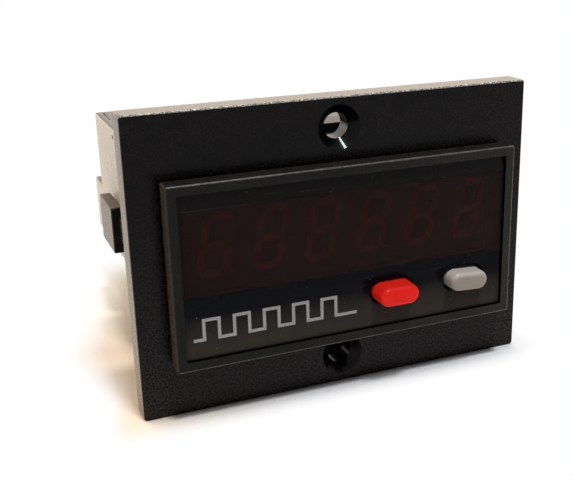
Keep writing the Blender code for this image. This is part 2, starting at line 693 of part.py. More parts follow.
def make_crystal(counter):
    """The clock crystal's oval can, lying along X."""
    can = prism("clock_crystal", [rounded_outline(CRYSTAL_WIDTH, CRYSTAL_LENGTH,
                                                  CRYSTAL_LENGTH / 2)],
                (0, CRYSTAL_HEIGHT), "can_metal", CHIP_EDGE, counter)
    can.rotation_euler = (math.radians(90), 0, 0)
    can.location = (*on_board(0.237, 0.361), MAIN_BOARD_TOP + SEAT_GAP + CRYSTAL_HEIGHT / 2)


def make_regulator(counter):
    """A power transistor case with its cooling tab towards the back."""
    x, y = on_board(-0.332, 0.668)
    seat = MAIN_BOARD_TOP + SEAT_GAP
    back = y + REGULATOR_LENGTH / 2
    regulator = box("voltage_regulator", span(x, REGULATOR_WIDTH), span(y, REGULATOR_LENGTH),
                    (seat, seat + REGULATOR_HEIGHT), "chip_black", parent=counter)
    tab = box("regulator_tab_tool", span(x, 0.8 * REGULATOR_WIDTH),
              (back - REGULATOR_TAB_HEIGHT, back + REGULATOR_TAB),
              (seat, seat + REGULATOR_TAB_HEIGHT))
    join(regulator, tab)


def capacitor_profile():
    """An electrolytic can with a rolled bead near its foot."""
    bead, neck = CAPACITOR_BEAD, CAPACITOR_NECK
    top, radius = CAPACITOR_HEIGHT, CAPACITOR_RADIUS
    return [(0, top), (radius - bead, top), (radius, top - bead), (radius, neck + bead),
            (radius - bead, neck), (radius, neck - bead), (radius, 0), (0, 0)]


def make_terminal_block(counter):
    block = box("terminal_block", span(0, INNER_WIDTH - 2 * TERMINAL_INSET),
                (TERMINAL_FRONT, TERMINAL_BACK), (TERMINAL_BOTTOM, TERMINAL_TOP),
                "terminal_plastic", TERMINAL_INSET, counter)
    poles = [(x, 0, 0) for x in pole_places()]
    chambers = box("wire_chamber_tool", span(0, WIRE_ENTRY),
                   (CHAMBER_FRONT, TERMINAL_BACK + OVERRUN), span(WIRE_ENTRY_Z, WIRE_ENTRY),
                   centres=poles)
    wells = round_bar("well_tool", WELL_RADIUS, WIRE_ENTRY_Z, TERMINAL_TOP + OVERRUN, "Z",
                      (0, POLE_Y), centres=poles)
    tail_room = span(0, TAIL_WIDTH + 2 * SEAT_GAP)
    shafts = box("tail_shaft_tool", tail_room, span(TAIL_Y, TAIL_WIDTH + 2 * SEAT_GAP),
                 (tail_floor() - SEAT_GAP, TERMINAL_TOP + OVERRUN), centres=poles)
    runs = box("tail_run_tool", tail_room, (TAIL_Y, CHAMBER_FRONT + OVERRUN),
               (tail_floor() - SEAT_GAP, tail_floor() + TAIL_WIDTH + SEAT_GAP), centres=poles)
    cut(block, chambers, wells, shafts, runs)


def tail_floor():
    return WIRE_ENTRY_Z - TAIL_WIDTH / 2


def make_clamp(number, x, counter):
    """A wire cage with its solder tail, which runs forward and up through the main board."""
    outer = WIRE_ENTRY - 2 * SEAT_GAP
    inner = outer - 2 * CAGE_WALL
    cage_front = CHAMBER_FRONT + SEAT_GAP
    cage = box(f"wire_clamp_{number}", span(x, outer), (cage_front, cage_front + CAGE_LENGTH),
               span(WIRE_ENTRY_Z, outer), "terminal_metal", parent=counter)
    run = box(f"clamp_run_tool_{number}", span(x, TAIL_WIDTH),
              (TAIL_Y - TAIL_WIDTH / 2, cage_front + CAGE_WALL),
              (tail_floor(), tail_floor() + TAIL_WIDTH))
    rise = box(f"clamp_rise_tool_{number}", span(x, TAIL_WIDTH), span(TAIL_Y, TAIL_WIDTH),
               (tail_floor(), MAIN_BOARD_TOP + TAIL_WIDTH))
    bore = box(f"clamp_bore_tool_{number}", span(x, inner),
               (cage_front + CAGE_WALL, cage_front + CAGE_LENGTH + OVERRUN),
               span(WIRE_ENTRY_Z, inner))
    screw_hole = round_bar(f"clamp_hole_tool_{number}", TERMINAL_SCREW_SHANK_RADIUS + SEAT_GAP / 2,
                           WIRE_ENTRY_Z, WIRE_ENTRY_Z + outer, "Z", (x, POLE_Y))
    join(cage, run, rise)
    cut(cage, bore, screw_hole)


def make_terminal_screw(number, x, counter):
    """A slotted clamp screw, sunk in its well."""
    head_top = TERMINAL_TOP - SCREW_SINK
    cage_top = WIRE_ENTRY_Z + WIRE_ENTRY / 2 - SEAT_GAP
    head = 0.65 * (head_top - cage_top)
    foot = head_top - cage_top + 2 * CAGE_WALL
    radius, shank, chamfer = TERMINAL_SCREW_RADIUS, TERMINAL_SCREW_SHANK_RADIUS, TERMINAL_SCREW_CHAMFER
    profile = [(0, 0), (radius - chamfer, 0), (radius, -chamfer), (radius, -head),
               (shank, -head), (shank, -foot), (0, -foot)]
    screw = turned(f"terminal_screw_{number}", profile, "terminal_metal", (x, POLE_Y, head_top),
                   counter)
    cut(screw, box(f"slot_tool_{number}", span(x, 3 * radius), span(POLE_Y, SLOT_WIDTH),
                   (head_top - SLOT_DEPTH, head_top + OVERRUN)))


def make_rear_cover(counter):
    """The wall that closes the upper half of the tube, with two notches to lift it by."""
    low = STEP_Z + COVER_PLAY
    high = INNER_HEIGHT / 2 - COVER_PLAY
    width = INNER_WIDTH - 2 * COVER_PLAY
    cover = box("rear_cover", span(0, width), (COVER_FRONT, UPPER_BACK), (low, high),
                "housing_plastic", COVER_PLAY, counter)
    for side, word in ((-1, "left"), (1, "right")):
        cut(cover, box(word + "_notch_tool", span(side * width / 4, NOTCH_WIDTH),
                       (UPPER_BACK - NOTCH_DEPTH, UPPER_BACK + OVERRUN),
                       span(high, 2 * NOTCH_DEPTH)))


def make_clip(counter):
    """The clamping clip: a ring round the housing, four legs, and two arms with finger grips."""
    axis = add_axis("clip_axis", (0, CLIP_RING_START, 0), counter)
    inner_x = BODY_WIDTH / 2 + CLIP_PLAY
    inner_z = BODY_HEIGHT / 2 + CLIP_PLAY
    ring_end = CLIP_RING_LENGTH
    clip = prism("mounting_clip", [
        rounded_outline(CLIP_WIDTH, CLIP_HEIGHT, CLIP_CORNER),
        rounded_outline(2 * inner_x, 2 * inner_z, CLIP_BORE_CORNER)], (0, ring_end), "clip_plastic",
        parent=axis)
    leg_front = COLLAR_DEPTH + SEAT_GAP - CLIP_RING_START
    leg_thickness = CLIP_HEIGHT / 2 - inner_z
    legs = box("clip_leg_tool", span(0, CLIP_LEG_WIDTH), (leg_front, ring_end / 2),
               span(0, leg_thickness), parent=axis, centres=[
                   (side_x * (CLIP_WIDTH / 2 - CLIP_LEG_INSET), 0,
                    side_z * (CLIP_HEIGHT - leg_thickness) / 2)
                   for side_x in (-1, 1) for side_z in (-1, 1)])
    join(clip, legs)
    grip_front = GRIP_START - CLIP_RING_START
    grip_inner = inner_x + GRIP_RELIEF
    for side, word in ((-1, "left"), (1, "right")):
        arm = box(word + "_arm_tool", sorted((side * inner_x, side * (inner_x + CLIP_ARM_THICKNESS))),
                  (ring_end / 2, grip_front + GRIP_LENGTH / 2), span(GRIP_Z, CLIP_ARM_HEIGHT),
                  parent=axis)
        grip = box(word + "_grip_tool", sorted((side * grip_inner, side * CLIP_WIDTH / 2)),
                   (grip_front, grip_front + GRIP_LENGTH), span(GRIP_Z, GRIP_HEIGHT),
                   edge=GRIP_EDGE, parent=axis)
        join(clip, arm, grip)


def build():
    clear_scene()
    counter = add_axis("counter_axis")
    make_plate()
    make_gasket(counter)
    make_housing(counter)
    make_front(counter)
    make_displays(counter)
    make_display_board(counter)
    make_header(counter)
    make_key("reset", RESET_KEY_X, RESET_KEY_STAND, "key_red", counter)
    make_key("function", FUNCTION_KEY_X, FUNCTION_KEY_STAND, "key_grey", counter)
    make_main_board(counter)
    make_components(counter)
    make_terminal_block(counter)
    for number, x in enumerate(pole_places(), start=1):
        make_clamp(number, x, counter)
        make_terminal_screw(number, x, counter)
    make_rear_cover(counter)
    make_clip(counter)


build()
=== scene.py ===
"""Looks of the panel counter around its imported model, in metres, in the model's own frame."""
import math

import bmesh
import bpy
from mathutils import Matrix, Vector


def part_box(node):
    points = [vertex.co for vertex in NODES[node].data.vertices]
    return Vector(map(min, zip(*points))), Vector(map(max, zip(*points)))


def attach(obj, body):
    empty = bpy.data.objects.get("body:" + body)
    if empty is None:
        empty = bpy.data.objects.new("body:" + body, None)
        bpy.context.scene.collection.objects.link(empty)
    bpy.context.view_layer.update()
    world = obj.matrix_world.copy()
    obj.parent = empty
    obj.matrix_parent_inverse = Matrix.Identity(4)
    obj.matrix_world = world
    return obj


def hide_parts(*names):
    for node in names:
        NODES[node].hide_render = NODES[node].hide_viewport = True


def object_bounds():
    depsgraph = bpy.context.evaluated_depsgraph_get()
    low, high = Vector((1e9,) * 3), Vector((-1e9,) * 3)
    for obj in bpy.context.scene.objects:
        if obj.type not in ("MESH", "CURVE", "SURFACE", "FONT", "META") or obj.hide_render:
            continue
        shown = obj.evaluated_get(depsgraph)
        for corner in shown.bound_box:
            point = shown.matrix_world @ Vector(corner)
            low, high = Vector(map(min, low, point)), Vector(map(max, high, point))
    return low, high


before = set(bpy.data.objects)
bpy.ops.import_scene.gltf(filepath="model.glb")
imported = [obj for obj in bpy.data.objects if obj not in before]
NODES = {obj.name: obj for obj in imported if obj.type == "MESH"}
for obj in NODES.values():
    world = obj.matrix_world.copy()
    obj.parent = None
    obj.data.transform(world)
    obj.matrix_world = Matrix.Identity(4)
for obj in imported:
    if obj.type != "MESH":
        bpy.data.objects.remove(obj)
CAD_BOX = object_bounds()

MM = 0.001
TOUCH = 0.00001                 # a gap between pieces that look as if they touch
FACING = 0.7                    # a normal's share along an axis for a face that looks that way
SQUARELY = 0.9                  # the same, for a face that looks straight that way
LEFTWARDS = -0.3                # the same along X, for an edge or a side on the left

# The camera, fitted to the photograph
IMAGE_WIDTH = 573               # pixels
FOCAL_LENGTH = 962.03           # pixels
SHIFT = -63.5                   # pixels
SENSOR_WIDTH = 36               # millimetres
EYE = (-48.56, -115.32, 42.43)  # millimetres
VIEW_ANGLES = (-23.95, 18.78, -0.60)    # azimuth, elevation and roll in degrees

# Planes across the Y axis
FRONT = -0.0072                 # the frame's front
FOIL = -0.0068                  # the foil's front
PLATE = -0.0037                 # the plate's front

# Plate
PLATE_CORNER = 0.0004
PLATE_EDGE = 0.0002
COLLAR = (0.0496, 0.0246)       # width and height of the collar round the frame
OPENING = (0.0454, 0.0224)      # width and height of the hole for the body
OPENING_CORNER = 0.0006
SCREW_OFFSET = 0.016            # from the plate's middle to each screw hole
BORE_RADIUS = 0.0017
SINK_RADIUS = 0.00295
SINK_DEPTH = 0.00125

# Frame and body
FRAME_EDGE = 0.00018            # the rounding of the frame's edges
FOIL_LEDGE = 0.0002             # faces this far behind the frame's front lie under the foil
SEAM = (0.02189, 0.02200)       # the seams' two sides, from the middle
SEAM_BOTTOM = 0.01071
SEAM_START = 0.0016             # just behind the plate's back
BODY_TOP = 0.0110               # just over the body
BODY_SIDE = 0.022

# Keys and foil
KEY_WIDTH = 0.0059
KEY_HEIGHT = 0.00275
KEY_PLAY = 0.00038
KEY_ROUNDING = 0.00074
KEY_COLLAR = 0.0008             # the collar's thickness and corner radius
FOIL_CORNER = 0.00025
WINDOW_PLAY = 0.00006
FOIL_EDGE = 0.00002             # the rounding of the foil's and the window's edges
PRINT = 0.00002                 # half the thickness of the printed line

# Digits
DIGIT_PITCH = 0.00724
DIGIT_MIDDLE = 0.0035           # the height of the digits' middle
DIGIT_HEIGHT = 0.0074
DIGIT_WIDTH = 0.0033
DIGIT_LEAN = 11.5               # degrees
BAR = 0.00105                   # the thickness of a digit's bars
BAR_GAP = 0.00010
POINT_RADIUS = 0.00024

# Floor
PAPER = (0.84, 0.80, 0.74)
# DARK_PAPER is painted shade in front of the object, LIT_PAPER painted light on its right and
# SHADED_PAPER a painted shadow on its left
DARK_PAPER = (0.22, 0.21, 0.20)
LIT_PAPER = (0.86, 0.87, 0.89)
SHADED_PAPER = [(0.05, (0.76, 0.57, 0.40)), (0.33, (0.616, 0.468, 0.342)),
                (0.73, (1.0, 0.92, 0.78)),
                (0.95, (0.94, 0.93, 0.92))]    # left of the object, from the front to the back
LIT_MIDDLE = 1.1                # the share of lit paper at the axis
LIT_ACROSS = 30.0               # its growth per metre to the right
LIT_BEHIND = -12.0              # its growth per metre to the back


# Camera

def make_camera():
    azimuth, elevation, roll = (math.radians(v) for v in VIEW_ANGLES)
    back = Vector((math.sin(azimuth) * math.cos(elevation),
                   -math.cos(azimuth) * math.cos(elevation), math.sin(elevation)))
    right = Vector((math.cos(azimuth), math.sin(azimuth), 0))
    up = back.cross(right)
    c, s = math.cos(roll), math.sin(roll)
    data = bpy.data.cameras.new("camera")
    data.sensor_width = SENSOR_WIDTH
    data.lens = FOCAL_LENGTH * SENSOR_WIDTH / IMAGE_WIDTH
    data.shift_x = SHIFT / IMAGE_WIDTH
    data.clip_start = 0.005
    data.clip_end = 20
    camera = bpy.data.objects.new("camera", data)
    axes = Matrix((c * right + s * up, -s * right + c * up, back)).transposed().to_4x4()
    camera.matrix_world = Matrix.Translation(Vector(EYE) * MM) @ axes
    bpy.context.scene.collection.objects.link(camera)
    bpy.context.scene.camera = camera


# Shader nodes

class Nodes:
    """Short ways to add nodes to a tree."""

    def __init__(self, tree, coords):
        self.tree = tree
        self.coords = tree.nodes.new("ShaderNodeTexCoord").outputs[coords]

    def node(self, kind, **values):
        node = self.tree.nodes.new(kind)
        for key, value in values.items():
            if key in node.inputs:
                node.inputs[key].default_value = value
            else:
                setattr(node, key, value)
        return node

    def feed(self, value, socket):
        """Gives a socket another one's output, a colour or a number."""
        if isinstance(value, bpy.types.NodeSocket):
            self.tree.links.new(value, socket)
        elif isinstance(value, tuple):
            socket.default_value = (*value, 1.0)
        else:
            socket.default_value = value

    def axes(self, vector):
        """The X, Y and Z parts of a vector."""
        split = self.node("ShaderNodeSeparateXYZ")
        self.feed(vector, split.inputs[0])
        return tuple(split.outputs)

    def math(self, operation, *values):
        node = self.node("ShaderNodeMath", operation=operation)
        for value, socket in zip(values, node.inputs):
            self.feed(value, socket)
        return node.outputs[0]

    def past(self, position, start, length):
        """How far a position is past a start, in lengths; a negative length looks the other way."""
        return self.math("MULTIPLY_ADD", position, 1 / length, -start / length)

    def ramp(self, factor, stops):
        """A colour ramp over (position, colour or grey) stops."""
        node = self.node("ShaderNodeValToRGB")
        elements = node.color_ramp.elements
        while len(elements) < len(stops):
            elements.new(0.5)
        for element, (position, value) in zip(elements, stops):
            element.position = position
            colour = (value, value, value) if isinstance(value, (int, float)) else value
            element.color = (*colour, 1.0)
        self.feed(factor, node.inputs["Fac"])
        return node.outputs["Color"]

    def mix(self, factor, first, second, blend="MIX"):
        node = self.node("ShaderNodeMix", data_type="RGBA", blend_type=blend)
        for value, socket in ((factor, node.inputs[0]), (first, node.inputs[6]),
                              (second, node.inputs[7])):
            self.feed(value, socket)
        return node.outputs[2]

    def background_rays(self):
        """1 for the rays that see the white background: camera, glossy and transmitted ones."""
        path = self.node("ShaderNodeLightPath").outputs
        seen = self.math("MAXIMUM", path["Is Camera Ray"], path["Is Glossy Ray"])
        return self.math("MAXIMUM", seen, path["Is Transmission Ray"])

    def choose(self, factor, first, second, output):
        """Mixes two shaders into the tree's output node."""
        mixed = self.node("ShaderNodeMixShader")
        for source, socket in zip((factor, first, second), mixed.inputs):
            self.feed(source, socket)
        self.feed(mixed.outputs[0], output.inputs["Surface"])


class Surface(Nodes):
    """A Principled material with short ways to add texture to it."""

    def __init__(self, name, colour, roughness=0.5, metallic=0.0, **inputs):
        self.material = bpy.data.materials.new(name)
        self.material.use_nodes = True
        super().__init__(self.material.node_tree, "Object")
        self.shader = self.tree.nodes["Principled BSDF"]
        self.set("Base Color", colour)
        self.set("Roughness", roughness)
        self.set("Metallic", metallic)
        for key, value in inputs.items():
            self.set(key.replace("_", " "), value)

    def set(self, name, value):
        """Sets a socket of the shader to another one's output, a colour or a number."""
        self.feed(value, self.shader.inputs[name])

    def placed(self, stretch):
        """The coordinates, stretched along the axes if that is asked for."""
        if not stretch:
            return self.coords
        mapping = self.node("ShaderNodeMapping", Scale=stretch)
        self.feed(self.coords, mapping.inputs["Vector"])
        return mapping.outputs["Vector"]

    def noise(self, scale, detail=2.0, roughness=0.5, stretch=None):
        node = self.node("ShaderNodeTexNoise", Scale=scale, Detail=detail, Roughness=roughness)
        self.feed(self.placed(stretch), node.inputs["Vector"])
        return node.outputs["Fac"]

    def cells(self, scale, stretch=None):
        node = self.node("ShaderNodeTexVoronoi", Scale=scale)
        self.feed(self.placed(stretch), node.inputs["Vector"])
        return node.outputs["Distance"]

    def bump(self, height, strength, distance):
        node = self.node("ShaderNodeBump", Strength=strength, Distance=distance)
        self.feed(height, node.inputs["Height"])
        self.set("Normal", node.outputs["Normal"])


# Materials

def grained_plastic(name, dark, light, roughness, grain, depth, speck=0.0, painted_light=None, **inputs):
    """Moulded plastic with a fine eroded grain and faint mottling; speck is the grain's contrast.
    Its painted-light argument is a colour painted in as a gradient of painted light, with its
    share's growth per metre to the right and upwards, and its middle share."""
    s = Surface(name, dark, roughness, **inputs)
    mottle = s.noise(700, 3.0, 0.6)
    fine = s.noise(grain, 2.0, 0.7)
    colour = s.mix(s.ramp(mottle, [(0.35, 0.0), (0.75, 1.0)]), dark, light)
    # A gradient of painted light: a lighter colour painted in across the face
    if painted_light:
        dust_and_painted_light, across, upwards, middle = painted_light
        x, _, z = s.axes(s.coords)
        share = s.math("MULTIPLY_ADD", z, upwards, middle)
        share = s.math("MULTIPLY_ADD", x, across, share)
        colour = s.mix(s.ramp(share, [(0.0, 0.0), (1.0, 1.0)]), colour, dust_and_painted_light)
    if speck:
        specks = s.ramp(fine, [(0.42, 1.0 - speck), (0.60, 1.0 + speck)])
        colour = s.mix(1.0, colour, specks, "MULTIPLY")
    s.set("Base Color", colour)
    s.set("Roughness", s.ramp(fine, [(0.3, roughness - 0.05), (0.7, roughness + 0.06)]))
    s.bump(fine, 0.8, depth)
    return s.material


def painted_edge_glints():
    """The plate's upper front edge, with fine light specks painted into the grain as painted
    glints.
    """
    dark = (0.060, 0.054, 0.047)
    s = Surface("plate_glinting_edge", dark, 0.34, Specular_IOR_Level=0.3)
    fleck = s.noise(3800, 2.0, 0.7)
    share = s.ramp(fleck, [(0.44, 0.0), (0.66, 1.0)])
    s.set("Base Color", s.mix(share, dark, (0.80, 0.76, 0.72)))
    s.bump(fleck, 0.6, 0.00006)
    return s.material


def plate_materials():
    return {
        # The front is painted lighter towards the right and the bottom, as painted light
        "plate": grained_plastic(
            "plate_plastic", (0.0012, 0.0009, 0.0008), (0.0054, 0.0042, 0.0036), 0.23, 3500,
            0.00001, 0.98, ((0.0160, 0.0137, 0.0130), 8.0, -26.0, 0.45),
            Specular_IOR_Level=0.110),
        # Lit copies of the plate's black plastic as painted light: the top edge is painted lighter
        # than the sides, both far lighter than the front
        "plate_top_lit": grained_plastic(
            "plate_top_lit", (0.085, 0.068, 0.051), (0.105, 0.086, 0.066), 0.28, 2600, 0.00001, 0.06,
            Specular_IOR_Level=0.40, Specular_Tint=(1.0, 0.93, 0.84), Sheen_Weight=0.58,
            Sheen_Roughness=0.4, Sheen_Tint=(1.0, 0.84, 0.68)),
        "plate_side_lit": grained_plastic(
            "plate_side_lit", (0.026, 0.0205, 0.0155), (0.038, 0.031, 0.024), 0.28, 2600, 0.00001,
            0.08, Specular_IOR_Level=0.20, Specular_Tint=(1.0, 0.84, 0.66), Sheen_Weight=0.24,
            Sheen_Roughness=0.4, Sheen_Tint=(1.0, 0.73, 0.48)),
        "edge_glints": painted_edge_glints(),
        # Black cut plastic of the countersink cones, also put as painted shade in the lower bore,
        # the frame's recesses and the clip's shaded fronts
        "cone": Surface("cut_plastic_and_shade", (0.0012, 0.0012, 0.0016), 0.32, Specular_IOR_Level=0.030,
                        Coat_Weight=0.12, Coat_Roughness=0.10).material,
        # A lighter, warm copy for the upper bore's walls, as painted light
        "lit_bore": Surface("lit_bore_wall", (0.010, 0.007, 0.005), 0.25, Specular_IOR_Level=0.34,
                        Specular_Tint=(1.0, 0.88, 0.76), Sheen_Weight=0.35,
                        Sheen_Roughness=0.4, Sheen_Tint=(1.0, 0.76, 0.58)).material}


# Lit copies of the body's black plastic as painted light: a lighter base than the frame's and a
# strong warm sheen, more on the sides than on the top
def lit_body_material(name, roughness, sheen):
    return grained_plastic(name, (0.030, 0.0275, 0.024), (0.042, 0.038, 0.033), roughness, 3200,
                           0.00001, 0.15, IOR=1.6, Specular_Tint=(1.0, 0.95, 0.88),
                           Sheen_Weight=sheen, Sheen_Roughness=0.4, Sheen_Tint=(1.0, 0.87, 0.74))


def housing_materials():
    return {
        # The front is painted lighter towards the right, as painted light
        "frame": grained_plastic(
            "frame_plastic", (0.0042, 0.0042, 0.0034), (0.0062, 0.0061, 0.0052), 0.30, 3600,
            0.00004, 0.35, ((0.0240, 0.0225, 0.0205), 26.0, -6.0, 0.12),
            Specular_IOR_Level=0.13),
        # A lighter copy for the rounded front edges, as a painted highlight line
        "frame_edge_highlight": grained_plastic(
            "frame_edge_highlight", (0.050, 0.047, 0.042), (0.090, 0.086, 0.078), 0.28, 3600, 0.00001, 0.3,
            Specular_IOR_Level=0.30),
        "frame_side": grained_plastic(
            "frame_side", (0.0100, 0.0092, 0.0080), (0.0150, 0.0138, 0.0122), 0.30, 3600,
            0.00003, 0.35, Specular_IOR_Level=0.22),
        # A lighter, warmer copy for the left faces, as painted light from the left
        "frame_left_lit": grained_plastic(
            "frame_left_lit", (0.044, 0.0310, 0.0205), (0.056, 0.0405, 0.0275), 0.30, 3600, 0.00003,
            0.35, Specular_IOR_Level=0.30),
        "housing": lit_body_material("housing", 0.28, 0.95),
        "housing_top": lit_body_material("housing_top", 0.42, 0.46),
        "clip": grained_plastic(
            "clip_plastic", (0.0035, 0.0032, 0.0030), (0.006, 0.0055, 0.0050), 0.26, 3800,
            0.00002, 0.25, Specular_IOR_Level=0.14, Specular_Tint=(1.0, 0.90, 0.80),
            Sheen_Weight=0.24, Sheen_Roughness=0.4, Sheen_Tint=(1.0, 0.67, 0.43))}


def foil_material():
    """Dark film, printed blue-black beside the window, and below it a lighter warm grey that is
    partly print and partly painted reflection, lighter towards the left; with dust and scratches.
    """
    field_top, field_height = -0.0026, 0.0078
    s = Surface("foil_print", (0.011, 0.011, 0.013), 0.26, Specular_IOR_Level=0.06)
    x, _, z = s.axes(s.coords)
    cloudy = s.noise(260, 3.0, 0.6)
    # Blue-black print by the window turning to a lighter warm grey below, partly print and partly
    # painted reflection
    down = s.past(z, field_top, -field_height)
    down = s.math("MULTIPLY_ADD", x, -2.0, down)
    down = s.math("MULTIPLY_ADD", cloudy, 0.16, down)
    print_and_reflection = s.ramp(down, [(0.0, (0.0062, 0.0056, 0.0056)), (0.10, (0.0016, 0.0020, 0.0046)),
                         (0.44, (0.0026, 0.0028, 0.0050)), (0.66, (0.0195, 0.0172, 0.0160)),
                         (1.0, (0.0330, 0.0280, 0.0245))])
    dust_and_painted_light = s.ramp(s.cells(900), [(0.02, 1.0), (0.07, 0.0)])
    hair = s.ramp(s.noise(2600, 2.0, 0.5, (0.05, 1.0, 2.2)), [(0.70, 0.0), (0.76, 1.0)])
    base = s.mix(hair, print_and_reflection, (0.026, 0.025, 0.024))
    s.set("Base Color", s.mix(dust_and_painted_light, base, (0.22, 0.21, 0.20)))
    s.set("Roughness", s.ramp(cloudy, [(0.2, 0.20), (0.8, 0.34)]))
    s.bump(s.noise(1500, 2.0), 0.08, 0.00002)
    return s.material


def window_material():
    """Dark red filter film that lets the segments behind it show faintly."""
    s = Surface("window_red", (0.013, 0.0035, 0.0035), 0.24, Alpha=0.60,
                Specular_IOR_Level=0.09)
    cloudy = s.noise(180, 3.0, 0.6)
    base = s.mix(cloudy, (0.0205, 0.0098, 0.0096), (0.0265, 0.0136, 0.0130))
    hair = s.ramp(s.noise(1500, 2.0, 0.5, (0.9, 1.0, 0.10)), [(0.70, 0.0), (0.76, 1.0)])
    base = s.mix(hair, base, (0.035, 0.022, 0.020))
    grain = s.ramp(s.noise(4200, 2.0, 0.7), [(0.35, 0.72), (0.65, 1.28)])
    base = s.mix(1.0, base, grain, "MULTIPLY")
    dust_and_painted_light = s.ramp(s.cells(800), [(0.02, 1.0), (0.06, 0.0)])
    s.set("Base Color", s.mix(dust_and_painted_light, base, (0.20, 0.15, 0.14)))
    s.set("Roughness", s.ramp(cloudy, [(0.2, 0.20), (0.8, 0.38)]))
    return s.material


def display_face():
    s = Surface("display_face", (0.005, 0.002, 0.002), 0.7, Specular_IOR_Level=0.05)
    s.set("Base Color", s.mix(s.noise(1500), (0.004, 0.0015, 0.0015), (0.007, 0.003, 0.003)))
    return s.material


def unlit_segment():
    """The tinted bars of the digits, patchy as seen through the film."""
    s = Surface("display_segment", (0.22, 0.012, 0.014), 0.55, Specular_IOR_Level=0.05)
    patchy = s.ramp(s.noise(1500, 3.0, 0.7), [(0.36, 0.0), (0.66, 1.0)])
    s.set("Base Color", s.mix(patchy, (0.17, 0.004, 0.008), (0.50, 0.016, 0.030)))
    return s.material


def white_print():
    s = Surface("white_print", (0.34, 0.34, 0.35), 0.5, Specular_IOR_Level=0.2)
    share = s.ramp(s.noise(5000, 2.0), [(0.35, 0.0), (0.6, 1.0)])
    s.set("Base Color", s.mix(share, (0.26, 0.26, 0.27), (0.38, 0.38, 0.39)))
    return s.material


def key_material(name, dark, light, painted_top, **inputs):
    """Smooth plastic, with another tone painted on its upward faces as painted light and shade."""
    s = Surface(name, dark, 0.32, Sheen_Roughness=0.45, **inputs)
    fine = s.noise(6500, 2.0, 0.6)
    upwards = s.axes(s.node("ShaderNodeNewGeometry").outputs["Normal"])[2]
    # The upward faces take the painted tone
    upper = s.ramp(upwards, [(0.15, 0.0), (0.75, 1.0)])
    s.set("Base Color", s.mix(upper, s.mix(s.noise(450, 3.0), dark, light), painted_top))
    s.set("Roughness", s.ramp(fine, [(0.3, 0.30), (0.7, 0.44)]))
    s.bump(fine, 0.35, 0.00001)
    return s.material


def front_materials():
    return {
        "foil": foil_material(),
        "window": window_material(),
        "display_face": display_face(),
        "segment": unlit_segment(),
        "print": white_print(),
        # The red key's top is painted darker as painted shade, the grey key's lighter as painted
        # light
        "key_red": key_material("key_red", (0.84, 0.010, 0.007), (0.93, 0.016, 0.010),
                                (0.66, 0.014, 0.008), Specular_IOR_Level=0.15,
                                Sheen_Weight=0.05, Sheen_Tint=(1.0, 0.5, 0.45)),
        "key_grey": key_material("key_grey", (0.28, 0.235, 0.202), (0.33, 0.282, 0.246),
                                 (0.46, 0.41, 0.37), Specular_IOR_Level=0.40, Sheen_Weight=0.30,
                                 Sheen_Tint=(1.0, 0.95, 0.88))}


def seal_rubber():
    s = Surface("seal_rubber", (0.008, 0.008, 0.008), 0.85)
    s.bump(s.noise(3000, 3.0), 0.5, 0.00003)
    s.set("Base Color", s.mix(s.noise(700), (0.006, 0.006, 0.006), (0.012, 0.012, 0.012)))
    return s.material


def board_green():
    """Green solder mask over fine copper traces."""
    s = Surface("board_green", (0.015, 0.12, 0.045), 0.35)
    traces = s.cells(420, (1.0, 0.25, 1.0))
    share = s.ramp(traces, [(0.45, 0.0), (0.55, 1.0)])
    s.set("Base Color", s.mix(share, (0.012, 0.10, 0.035), (0.022, 0.17, 0.065)))
    s.bump(traces, 0.3, 0.00002)
    return s.material


def matt_plastic(name, colour, roughness, grain, mottle, dark, light):
    """Plain moulded plastic with fine grain and faint mottling, given as noise scales."""
    s = Surface(name, colour, roughness)
    s.bump(s.noise(grain, 2.0), 0.4, 0.00001)
    s.set("Base Color", s.mix(s.noise(mottle), dark, light))
    return s.material


def metal(name, colour, roughness, stretch):
    """Brushed metal; the brushing runs along the axis with the small stretch."""
    s = Surface(name, colour, roughness, 1.0)
    brushed = s.noise(2600, 3.0, 0.6, stretch)
    s.set("Roughness", s.ramp(brushed, [(0.3, roughness - 0.08), (0.7, roughness + 0.12)]))
    s.set("Base Color", s.mix(s.noise(400), tuple(0.88 * v for v in colour), colour))
    s.bump(brushed, 0.25, 0.00001)
    return s.material


def inner_materials():
    return {
        "seal": seal_rubber(),
        "board": board_green(),
        "chip": matt_plastic("chip_black", (0.022, 0.022, 0.023), 0.55, 9000, 2000,
                             (0.018, 0.018, 0.019), (0.028, 0.028, 0.028)),
        "terminal": matt_plastic("terminal_plastic", (0.020, 0.022, 0.022), 0.45, 6000, 600,
                                 (0.017, 0.019, 0.019), (0.026, 0.028, 0.028)),
        "can": metal("can_metal", (0.66, 0.66, 0.68), 0.28, (1.0, 1.0, 0.1)),
        "steel": metal("plated_steel", (0.62, 0.60, 0.54), 0.34, (1.0, 0.15, 1.0))}


# Mesh making

def outline(width, height, radius, centre=(0, 0), steps=12):
    """A rectangle with round corners in X and Z, as points round it."""
    points = []
    for quarter, (side_x, side_z) in enumerate(((1, 1), (-1, 1), (-1, -1), (1, -1))):
        cx = centre[0] + side_x * (width / 2 - radius)
        cz = centre[1] + side_z * (height / 2 - radius)
        for step in range(steps + 1):
            angle = math.pi / 2 * (quarter + step / steps)
            points.append((cx + radius * math.cos(angle), cz + radius * math.sin(angle)))
    return points


def circle(radius, centre, steps=96):
    return [(centre[0] + radius * math.cos(2 * math.pi * k / steps),
             centre[1] + radius * math.sin(2 * math.pi * k / steps)) for k in range(steps)]


def front_view(node):
    """A node's width, height and middle, as seen from the front."""
    low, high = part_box(node)
    return high[0] - low[0], high[2] - low[2], ((low[0] + high[0]) / 2, (low[2] + high[2]) / 2)


